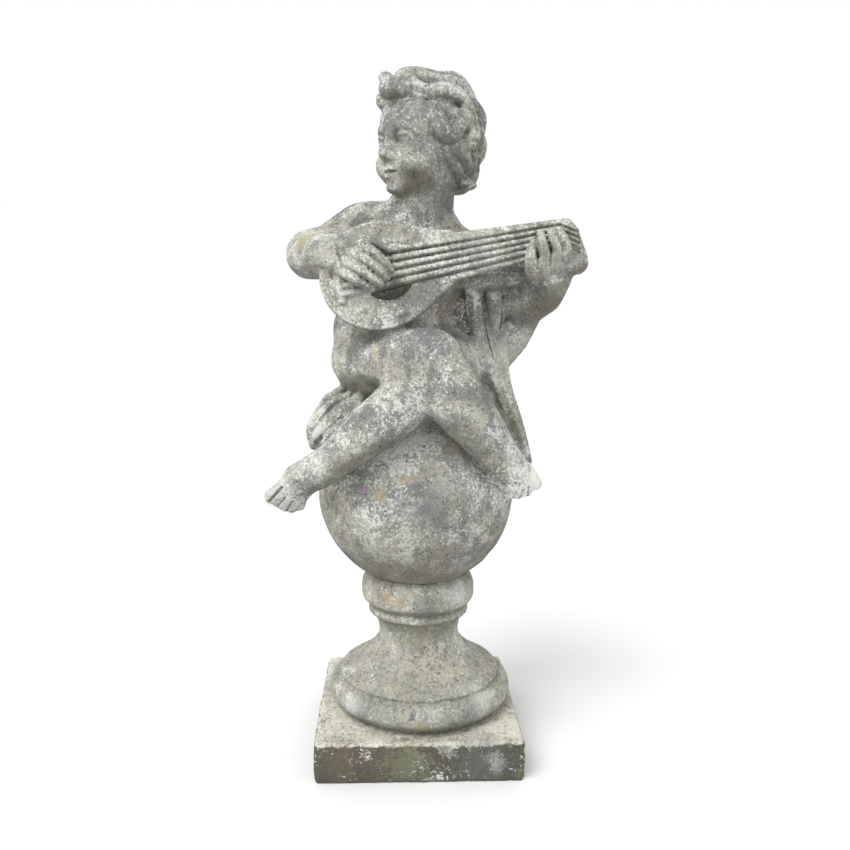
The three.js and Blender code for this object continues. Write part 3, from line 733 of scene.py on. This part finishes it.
def roughened(piece, layers):
    for name, kind, size, depth, contrast in layers:
        grain = bpy.data.textures.new(name, "CLOUDS")
        grain.noise_basis = kind
        grain.noise_scale = size / 1000
        grain.noise_depth = 2
        grain.contrast = contrast
        push = piece.modifiers.new(name, "DISPLACE")
        push.texture = grain
        push.strength = depth / 1000
        push.mid_level = 0.5
    applyModifiers(piece)


def thinned(piece, triangles):
    count = sum(len(face.vertices) - 2 for face in piece.data.polygons)
    fewer = piece.modifiers.new("fewer", "DECIMATE")
    fewer.ratio = min(1, triangles / count)
    fewer.use_collapse_triangulate = True
    applyModifiers(piece)
    piece.data.validate()
    print("statue:", piece.name, count, "to", len(piece.data.polygons), "triangles")


def stored(piece, name, values):
    store = piece.data.attributes.new(name, "FLOAT", "POINT")
    store.data.foreach_set("value", values)


def marked(piece, name, times, reach):  # stores how deep each point lies: 0.5 is level, 1 is in a hollow
    ghost = piece.copy()
    ghost.data = piece.data.copy()
    bpy.context.collection.objects.link(ghost)
    softened(ghost, times, 0.8)
    depth = ((coordinates(ghost) - coordinates(piece)) * normalsOf(piece)).sum(axis=1)
    stored(piece, name, np.clip(0.5 + depth / (2 * reach / 1000), 0, 1))
    bpy.data.objects.remove(ghost)


def facingMarked(piece):  # stores how far each point faces up: 1 is up, 0 is down
    stored(piece, "facing", 0.5 + normalsOf(piece)[:, 2] / 2)


forearm = {
    "middle": (-152, -70, 208),
    "axis": (0.52, -0.84, -0.13),
    "reach": 42,
    "length": 23,
    "period": 11,
    "depth": 1.3,
}


def banded(piece):  # the soft rings round the forearm above the wrist
    points = coordinates(piece)
    axis = np.array(forearm["axis"])
    away = (points - np.array(at(forearm["middle"]))) * 1000
    along = away @ axis
    aside = np.linalg.norm(away - along[:, None] * axis, axis=1)
    share = np.clip(1 - np.abs(along) / forearm["length"], 0, 1) * (aside < forearm["reach"])
    rise = np.sin(along * 2 * math.pi / forearm["period"]) * forearm["depth"] / 1000 * np.sqrt(share)
    placed(piece, points + normalsOf(piece) * rise[:, None])


def buildCherub():
    inward = (math.sin(headPose["turn"]), math.cos(headPose["turn"]), 0)
    base = statueCopy()
    remeshed(base, cherubSizes["coarseCell"])
    softened(base, cherubSizes["coarseWear"])
    lowered(base)
    tucked(base)
    print("statue: form taken up")
    soft = joined([base, ballForm(), *faceForms()], "cherub_on_ball")
    remeshed(soft, cherubSizes["softCell"])
    pressed(soft, faceHollows(), inward)
    softened(soft, cherubSizes["softWear"])
    print("statue: soft forms made")
    details = [*faceDetails(), *hairForms(), *handForms(), *footForms(), *clothForms(), *luteForms()]
    fine = joined([soft, *details], "cherub_on_ball")
    remeshed(fine, cherubSizes["fineCell"])
    pressed(fine, mouthLine(), inward)
    pressed(fine, hairHoles(), (-0.5, 0.866, 0))
    softened(fine, cherubSizes["fineWear"])
    banded(fine)
    strung(fine)
    combed(fine)
    grooved(fine, toeGrooves + clothGrooves, (0, 1, 0))
    grooved(fine, hipGrooves, (0.2, 1, -0.2), above=50, below=40)
    grooved(fine, fingerGrooves, (0.1, 1, 0), above=22, below=4)
    print("statue: details made")
    roughened(fine, [
        ("wornSwell", "BLENDER_ORIGINAL", 20, 1.3, 1.0),
        ("wornGrain", "BLENDER_ORIGINAL", 6, 0.6, 1.2),
    ])
    thinned(fine, cherubSizes["triangles"])
    return fine


cherub = buildCherub()

# The turned foot, on the casting's lean
footProfile = {
    "slices": 120,
    "cell": 2.0,
    "triangles": 120000,
    "wear": 2,
    "lean": -0.025,
    "shift": 4.5,
    "ringHeight": 86,
    "points": [
        (0, 56), (120, 56), (124, 62), (122, 66), (130, 67.5), (137, 72), (141, 79), (142, 86), (141, 93),
        (138, 99.5), (132, 103.5), (124, 105), (117, 105.5), (117, 108.5), (124.5, 109.5), (125, 113),
        (121, 116.5), (109, 122), (96, 131), (84, 140.5), (73, 150), (65.5, 160), (62, 169), (61.5, 178),
        (63.5, 189), (67, 199), (69, 204), (75, 205.5), (78, 209), (78, 214.5), (75.5, 218), (72, 219.5),
        (73, 221.5), (80, 223.5), (86, 230), (88, 238), (88, 250), (86, 259), (82, 266), (76, 271),
        (66, 273.5), (0, 273.5),
    ],
}


def buildTurnedFoot():
    unpicked()
    bpy.ops.mesh.primitive_plane_add(size=0.01)
    foot = bpy.context.active_object
    foot.name = "turned_foot"
    editAll()
    bpy.ops.mesh.merge(type="CENTER")
    last = Vector((0, 0, 0))
    for radius, height in footProfile["points"]:
        place = Vector((radius, 0, height)) / 1000
        if radius == 0 and last.length == 0:
            bpy.ops.transform.translate(value=place)
        else:
            bpy.ops.mesh.extrude_region_move(TRANSFORM_OT_translate={"value": place - last})
        last = place
    bpy.ops.mesh.select_all(action="SELECT")
    bpy.ops.mesh.spin(steps=footProfile["slices"], angle=2 * math.pi, center=(0, 0, 0), axis=(0, 0, 1))
    bpy.ops.mesh.select_all(action="SELECT")
    bpy.ops.mesh.remove_doubles(threshold=0.0001)
    bpy.ops.mesh.normals_make_consistent(inside=False)
    bpy.ops.object.mode_set(mode="OBJECT")
    lean = Matrix.Identity(4)
    lean[0][2] = footProfile["lean"]
    lean[0][3] = (footProfile["shift"] - footProfile["lean"] * footProfile["ringHeight"]) / 1000
    foot.data.transform(lean)
    remeshed(foot, footProfile["cell"])
    softened(foot, footProfile["wear"])
    roughened(foot, [
        ("footSwell", "BLENDER_ORIGINAL", 30, 1.8, 1.0),
        ("footGrain", "BLENDER_ORIGINAL", 5, 0.9, 1.2),
        ("footPits", "VORONOI_F1", 5, 0.6, 1.3),
    ])
    thinned(foot, footProfile["triangles"])
    return foot


turnedFoot = buildTurnedFoot()

# The square plinth
plinthSizes = {
    "width": 305,
    "height": 60,
    "edge": 7,
    "chips": [
        (-60, -161, 66, 12), (-18, -162, 67, 14), (22, -161, 67, 15), (47, -160, 68, 13), (98, -161, 67, 13),
        (-112, -160, 68, 12), (128, -162, 64, 15), (158, -158, 8, 14), (-160, -158, 4, 16),
        (-158, -150, 66, 12),
        (60, -164, -6, 16), (-40, -163, -7, 14), (160, -40, 67, 14), (161, 60, 67, 13), (-161, 20, 68, 14),
        (-160, -80, 67, 12), (30, 161, 68, 14), (-70, 161, 68, 13), (158, 158, 62, 16), (-158, 156, 66, 14),
    ],
    "cell": 2.2,
    "triangles": 120000,
    "wear": 3,
    "flatBelow": 2.5,
}


def chipped(piece, chips):  # knocks round bites out of edges: each chip is x, y, z and radius
    points = coordinates(piece)
    for x, y, z, radius in chips:
        away = points - np.array((x, y, z)) / 1000
        far = np.linalg.norm(away, axis=1)
        share = np.where(far < radius / 1000, radius / 1000 / np.maximum(far, 1e-6), 1)
        points += away * (share - 1)[:, None]
    placed(piece, points)


def buildPlinth():
    unpicked()
    width = plinthSizes["width"] / 1000
    height = plinthSizes["height"] / 1000
    bpy.ops.mesh.primitive_cube_add(size=1, location=(0, 0, height / 2), scale=(width, width, height))
    bpy.ops.object.transform_apply()
    plinth = bpy.context.active_object
    plinth.name = "square_plinth"
    editAll()
    bpy.ops.mesh.bevel(offset=plinthSizes["edge"] / 1000, segments=4)
    bpy.ops.object.mode_set(mode="OBJECT")
    remeshed(plinth, plinthSizes["cell"])
    chipped(plinth, plinthSizes["chips"])
    softened(plinth, plinthSizes["wear"])
    roughened(plinth, [
        ("slabSwell", "BLENDER_ORIGINAL", 26, 2.4, 1.0),
        ("slabGrain", "BLENDER_ORIGINAL", 7, 2.0, 1.3),
        ("slabPits", "VORONOI_F1", 6, 1.2, 1.3),
    ])
    thinned(plinth, plinthSizes["triangles"])
    points = coordinates(plinth)
    points[:, 2] = np.where(points[:, 2] < plinthSizes["flatBelow"] / 1000, 0, points[:, 2])
    placed(plinth, points)
    return plinth


plinthBlock = buildPlinth()

marks = {"crevice": (4, 1.2), "hollow": (40, 5.0)}  # how many times softened, and how deep counts as full
for piece in (cherub, turnedFoot, plinthBlock):
    for name, (times, reach) in marks.items():
        marked(piece, name, times, reach)
    facingMarked(piece)
    pickOnly(piece)
    bpy.ops.object.shade_smooth()
    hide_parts("cherub_statue")
    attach(piece, "root")
print("statue: pieces made")


# Weathered stone, with painted shade in creases, in hollows and on undersides
def addNode(tree, kind, place, **settings):
    node = tree.nodes.new(kind)
    node.location = place
    for name, value in settings.items():
        setattr(node, name, value)
    return node


def noiseAt(tree, where, size, detail=4, rough=0.6, seed=0):
    noise = addNode(tree, "ShaderNodeTexNoise", (0, 0), noise_dimensions="4D")
    tree.links.new(where, noise.inputs["Vector"])
    noise.inputs["W"].default_value = seed
    noise.inputs["Scale"].default_value = 1000 / size
    noise.inputs["Detail"].default_value = detail
    noise.inputs["Roughness"].default_value = rough
    return noise.outputs["Fac"]


def ranged(tree, value, low, high, toLow=0.0, toHigh=1.0):
    spread = addNode(tree, "ShaderNodeMapRange", (0, 0), interpolation_type="SMOOTHSTEP")
    tree.links.new(value, spread.inputs["Value"])
    spread.inputs["From Min"].default_value = low
    spread.inputs["From Max"].default_value = high
    spread.inputs["To Min"].default_value = toLow
    spread.inputs["To Max"].default_value = toHigh
    return spread.outputs["Result"]


def worked(tree, operation, first, second):
    result = addNode(tree, "ShaderNodeMath", (0, 0), operation=operation)
    for socket, value in zip(result.inputs, (first, second)):
        if isinstance(value, (int, float)):
            socket.default_value = value
        else:
            tree.links.new(value, socket)
    return result.outputs[0]


def scaled(tree, first, second):
    return worked(tree, "MULTIPLY", first, second)


def summed(tree, first, second):
    return worked(tree, "ADD", first, second)


def layered(tree, mask, below, above):
    mix = addNode(tree, "ShaderNodeMix", (0, 0), data_type="RGBA")
    tree.links.new(mask, mix.inputs["Factor"])
    for socket, value in ((mix.inputs[6], below), (mix.inputs[7], above)):
        if isinstance(value, tuple):
            socket.default_value = value
        else:
            tree.links.new(value, socket)
    return mix.outputs[2]


def newGroup(name, inputs, outputs):
    kinds = {"Vector": "NodeSocketVector", "Float": "NodeSocketFloat", "Color": "NodeSocketColor"}
    group = bpy.data.node_groups.new(name, "ShaderNodeTree")
    for socket, kind in inputs:
        group.interface.new_socket(socket, in_out="INPUT", socket_type=kinds[kind])
    for socket, kind in outputs:
        group.interface.new_socket(socket, in_out="OUTPUT", socket_type=kinds[kind])
    given = addNode(group, "NodeGroupInput", (-1400, 0)).outputs
    out = addNode(group, "NodeGroupOutput", (1400, 0)).inputs
    return group, given, out


# Stone colours. Three of them are painted shade: the one for undersides, the near-black one for creases, and
# the dark one for hollows, which also darkens upright sides.
stoneColours = {
    "cream": (0.37, 0.36, 0.30, 1),
    "dun": (0.15, 0.145, 0.118, 1),
    "soot": (0.150, 0.157, 0.158, 1),
    "darkening": (0.088, 0.084, 0.064, 1),
    "creaseShade": (0.030, 0.029, 0.023, 1),
    "shade": (0.135, 0.128, 0.105, 1),
    "speck": (0.052, 0.052, 0.047, 1),
    "bloom": (0.40, 0.40, 0.36, 1),
    "lichen": (0.57, 0.58, 0.55, 1),
}


stoneGrain = {  # each noise's size in millimetres, detail, roughness and seed
    "broad": (120, 4, 0.6, 1),
    "patch": (42, 5, 0.68, 2),
    "medium": (15, 4, 0.65, 3),
    "fleck": (3.6, 2, 0.6, 4),
    "speck": (2.8, 2, 0.6, 5),
    "bloom": (11, 4, 0.7, 10),
    "crowd": (48, 4, 0.6, 6),
    "streak": (13, 3, 0.6, 7),
}
streakStretch = (1, 1, 0.13)


def groundLayers(group, given, grain, sooty):  # the pale and dun ground, with soot in patches and streaks
    colour = layered(group, ranged(group, grain["broad"], 0.42, 0.60), given["Body"], stoneColours["cream"])
    colour = layered(group, ranged(group, grain["medium"], 0.48, 0.34, 0.0, 0.6), colour, stoneColours["dun"])
    colour = layered(group, scaled(group, sooty, given["Soot"]), colour, stoneColours["soot"])
    streak = ranged(group, grain["streak"], 0.50, 0.62)
    return layered(group, scaled(group, streak, given["Streaks"]), colour, stoneColours["soot"])


def darkeningLayers(group, given, grain, colour):  # upright sides darker than the top, then painted shade on undersides and in hollows
    # upright sides are painted darker than the top, where the side input is set
    side = summed(group, given["Facing"], scaled(group, grain["medium"], 0.35))
    side = scaled(group, ranged(group, side, 1.02, 0.86), given["Side Darkening"])
    colour = layered(group, side, colour, stoneColours["darkening"])
    # painted shade: faces that look down are darkened with the shade colour
    under = summed(group, given["Facing"], scaled(group, grain["patch"], 0.2))
    colour = layered(group, ranged(group, under, 0.56, 0.20, 0.0, 0.78), colour, stoneColours["shade"])
    # painted shade in hollows: the deeper the surface lies, the darker it is painted
    return layered(group, ranged(group, given["Hollow"], 0.54, 0.92, 0.0, 0.75), colour, stoneColours["darkening"])


def growthLayers(group, given, grain, sooty, colour):  # dark specks, then bloom and white flecks of lichen; the pale flecks thin out on undersides, which adds painted shade there
    crowded = scaled(group, worked(group, "SUBTRACT", grain["crowd"], 0.5), 0.9)
    crowded = worked(group, "SUBTRACT", crowded, scaled(group, sooty, 0.05))
    sparse = scaled(group, crowded, 0.45)
    dark = ranged(group, worked(group, "SUBTRACT", grain["speck"], sparse), 0.56, 0.69, 0.0, 0.72)
    colour = layered(group, dark, colour, stoneColours["speck"])
    crest = ranged(group, given["Crevice"], 0.50, 0.32, 0.0, 0.07)
    crowded = summed(group, summed(group, crowded, crest), given["Fleck"])
    # fewer pale flecks on faces that look down: painted shade on undersides
    shown = ranged(group, given["Facing"], 0.15, 0.5, 0.2, 1.0)
    bloom = ranged(group, summed(group, grain["bloom"], crowded), 0.52, 0.66, 0.0, 0.6)
    colour = layered(group, scaled(group, bloom, shown), colour, stoneColours["bloom"])
    white = ranged(group, summed(group, grain["fleck"], crowded), 0.53, 0.67, 0.0, 0.92)
    return layered(group, scaled(group, white, shown), colour, stoneColours["lichen"])


def stoneGroup():
    inputs = [("Place", "Vector"), ("Body", "Color")]
    for name in ("Crevice", "Hollow", "Facing", "Soot", "Fleck", "Side Darkening", "Streaks"):
        inputs.append((name, "Float"))
    outputs = [("Color", "Color"), ("Roughness", "Float"), ("Height", "Float")]
    group, given, out = newGroup("weathered_and_shaded_stone", inputs, outputs)
    drawn = addNode(group, "ShaderNodeVectorMath", (0, 0), operation="MULTIPLY")
    group.links.new(given["Place"], drawn.inputs[0])
    drawn.inputs[1].default_value = streakStretch
    grain = {}
    for name, values in stoneGrain.items():
        where = drawn.outputs[0] if name == "streak" else given["Place"]
        grain[name] = noiseAt(group, where, *values)
    sooty = summed(group, grain["patch"], scaled(group, grain["medium"], 0.45))
    sooty = ranged(group, sooty, 0.70, 0.80)
    colour = groundLayers(group, given, grain, sooty)
    colour = darkeningLayers(group, given, grain, colour)
    colour = growthLayers(group, given, grain, sooty, colour)
    group.links.new(colour, out["Color"])
    group.links.new(ranged(group, grain["fleck"], 0.3, 0.7, 0.84, 0.97), out["Roughness"])
    raised = scaled(group, grain["fleck"], 0.9)
    height = summed(group, raised, scaled(group, grain["speck"], -0.7))
    group.links.new(height, out["Height"])
    return group


def colourPatchGroup():  # one patch of colour round a place: lichen, moss and wash, and also the painted shade in the lute's hole
    inputs = [("Color", "Color"), ("Place", "Vector"), ("Centre", "Vector"), ("Radius", "Float"),
        ("Tint", "Color"), ("Strength", "Float")]
    group, given, out = newGroup("colour_patch", inputs, [("Color", "Color")])
    distance = addNode(group, "ShaderNodeVectorMath", (0, 0), operation="DISTANCE")
    group.links.new(given["Place"], distance.inputs[0])
    group.links.new(given["Centre"], distance.inputs[1])
    share = worked(group, "DIVIDE", distance.outputs["Value"], given["Radius"])
    fine = scaled(group, noiseAt(group, given["Place"], 4.5, 3, 0.7, 9), 1.6)
    ragged = summed(group, noiseAt(group, given["Place"], 22, 4, 0.7, 8), fine)
    edge = summed(group, share, scaled(group, ragged, 2.0))
    mask = scaled(group, ranged(group, edge, 3.7, 2.8), given["Strength"])
    group.links.new(layered(group, mask, given["Color"], given["Tint"]), out["Color"])
    return group


stone = stoneGroup()
colourPatch = colourPatchGroup()

patchColours = {
    "ochre": (0.33, 0.26, 0.13, 1),
    "green": (0.175, 0.18, 0.115, 1),
    "brown": (0.15, 0.115, 0.082, 1),
    "grey": (0.125, 0.135, 0.137, 1),
    "pale": (0.66, 0.67, 0.64, 1),
    "pink": (0.50, 0.12, 0.45, 1),
    "deep": (0.07, 0.07, 0.058, 1),
}

# Patches, in the order in which they are laid: each is a place, a radius and a strength
figurePatches = [
    ("grey", [((14, 0, 390), 104, 0.42), ((0, -70, 400), 36, 0.5), ((11, -130, 70), 54, 0.85),
        ((-2, -145, -140), 52, 0.6), ((60, -120, 10), 30, 0.4), ((-60, -120, 190), 20, 0.2),
        ((-40, -60, 225), 45, 0.35)]),
    ("pale", [((146, -100, -118), 64, 0.95), ((152, -105, -130), 46, 0.7), ((-195, -110, -138), 50, 0.6),
        ((-130, -90, 208), 46, 0.2), ((-150, -120, -60), 50, 0.4), ((80, -110, -30), 60, 0.3),
        ((180, -110, 190), 40, 0.3), ((110, -30, 60), 80, 0.2), ((-110, -120, 60), 40, 0.35),
        ((40, -110, -110), 40, 0.35), ((-175, -50, 215), 50, 0.15), ((80, -115, 205), 40, 0.25),
        ((-90, -100, 150), 36, 0.25)]),
    ("ochre", [((-87, -115, 61), 13, 0.6), ((-68, -118, 68), 11, 0.6), ((-112, -125, 4), 24, 0.6),
        ((-85, -122, -21), 15, 0.5), ((-22, -146, -109), 12, 0.5), ((-57, -138, -130), 12, 0.5),
        ((-158, -66, 212), 22, 0.6), ((-44, -66, 304), 9, 0.6), ((-40, -104, 232), 8, 0.5)]),
    ("green", [((171, -126, 200), 20, 0.7), ((205, -115, 222), 26, 0.6), ((120, -120, 214), 12, 0.6),
        ((183, -90, 140), 30, 0.45), ((150, -30, -40), 50, 0.4), ((-20, -120, 160), 30, 0.35)]),
    ("brown", [((50, -60, 120), 40, 0.75), ((45, -100, -75), 34, 0.6), ((200, -50, 120), 36, 0.5),
        ((-20, -70, 118), 34, 0.5), ((-130, -40, -170), 34, 0.5), ((120, -60, -200), 40, 0.4),
        ((222, -116, 184), 14, 0.7)]),
    ("pink", [((-79, -127, -125), 6, 0.5)]),
    ("ochre", [((-140, -84, 215), 12, 0.5), ((-170, -60, 222), 12, 0.5)]),
    # painted shade: a near-black patch on the floor of the lute's sound hole
    ("deep", [(onLute(12, -24, 3), 24, 0.8)]),
]
footStains = [
    ("ochre", [((-48, -72, -303), 13, 0.6), ((-26, -80, -306), 12, 0.6)]),
    ("green", [((0, -60, -360), 34, 0.55), ((-14, -100, -425), 40, 0.4)]),
    ("grey", [((40, -60, -370), 26, 0.5), ((-40, -50, -360), 24, 0.4), ((-90, -110, -465), 34, 0.5),
        ((70, -120, -465), 30, 0.4)]),
    ("pale", [((-100, -95, -462), 24, 0.4), ((95, -95, -455), 30, 0.4)]),
    ("ochre", [((2, -138, -473), 13, 0.8)]),
    ("grey", [((-11, -139, -459), 8, 1.0), ((20, -70, -310), 34, 0.4)]),
    ("pale", [((60, -60, -305), 30, 0.35)]),
    ("grey", [((30, -142, -464), 60, 0.3), ((-60, -130, -464), 50, 0.3)]),
]
plinthStains = [
    ("green", [((-18, -152, -520), 44, 0.6), ((-14, -150, -492), 26, 0.5)]),
    ("grey", [((90, -152, -520), 52, 0.4)]),
    ("pale", [((110, -152, -522), 16, 0.3), ((40, -152, -500), 16, 0.3)]),
    ("green", [((146, -150, -540), 14, 0.6)]),
    ("brown", [((-110, -152, -510), 44, 0.4)]),
]


def stoneMaterial(name, body, soot, fleck, sideDarkening, streaks, patchSets):
    material = bpy.data.materials.new(name)
    material.use_nodes = True
    tree = material.node_tree
    shader = tree.nodes["Principled BSDF"]
    shader.inputs["Specular IOR Level"].default_value = 0.2
    place = addNode(tree, "ShaderNodeTexCoord", (-1200, 200)).outputs["Object"]
    finish = addNode(tree, "ShaderNodeGroup", (-900, 0), node_tree=stone)
    tree.links.new(place, finish.inputs["Place"])
    depths = {}
    for order, mark in enumerate(("Crevice", "Hollow", "Facing")):
        reader = addNode(tree, "ShaderNodeAttribute", (-1200, -200 * order), attribute_name=mark.lower())
        depths[mark] = reader.outputs["Fac"]
        tree.links.new(depths[mark], finish.inputs[mark])
    values = {"Body": body, "Soot": soot, "Fleck": fleck, "Side Darkening": sideDarkening, "Streaks": streaks}
    for socket, value in values.items():
        finish.inputs[socket].default_value = value
    colour = finish.outputs["Color"]
    patches = [(tint, *patch) for tint, group in patchSets for patch in group]
    for order, (tint, centre, radius, strength) in enumerate(patches):
        patch = addNode(tree, "ShaderNodeGroup", (-700 + 30 * order, 300), node_tree=colourPatch)
        tree.links.new(colour, patch.inputs["Color"])
        tree.links.new(place, patch.inputs["Place"])
        patch.inputs["Centre"].default_value = at(centre)
        patch.inputs["Radius"].default_value = radius / 1000
        patch.inputs["Tint"].default_value = patchColours[tint]
        patch.inputs["Strength"].default_value = strength
        colour = patch.outputs["Color"]
    # painted shade in creases: the deepest small grooves are painted near black, over the stains
    creaseShade = ranged(tree, depths["Crevice"], 0.60, 1.0, 0.0, 0.85)
    colour = layered(tree, creaseShade, colour, stoneColours["creaseShade"])
    bump = addNode(tree, "ShaderNodeBump", (-300, -300))
    bump.inputs["Strength"].default_value = 0.6
    bump.inputs["Distance"].default_value = 0.0010
    tree.links.new(finish.outputs["Height"], bump.inputs["Height"])
    tree.links.new(bump.outputs["Normal"], shader.inputs["Normal"])
    tree.links.new(colour, shader.inputs["Base Color"])
    tree.links.new(finish.outputs["Roughness"], shader.inputs["Roughness"])
    return material


cherub.data.materials.clear()
figureStone = stoneMaterial("weathered_and_shaded_figure", (0.32, 0.31, 0.262, 1), 0.72, 0.0, 0.0, 0.4, figurePatches)
footStone = stoneMaterial("weathered_and_shaded_foot", (0.36, 0.35, 0.29, 1), 0.3, -0.045, 0.0, 0.4, footStains)
plinthStone = stoneMaterial("weathered_and_shaded_plinth", (0.55, 0.535, 0.455, 1), 0.0, -0.09, 1.0, 0.0, plinthStains)
cherub.data.materials.append(figureStone)
turnedFoot.data.materials.append(footStone)
plinthBlock.data.materials.append(plinthStone)
print("statue: materials made")
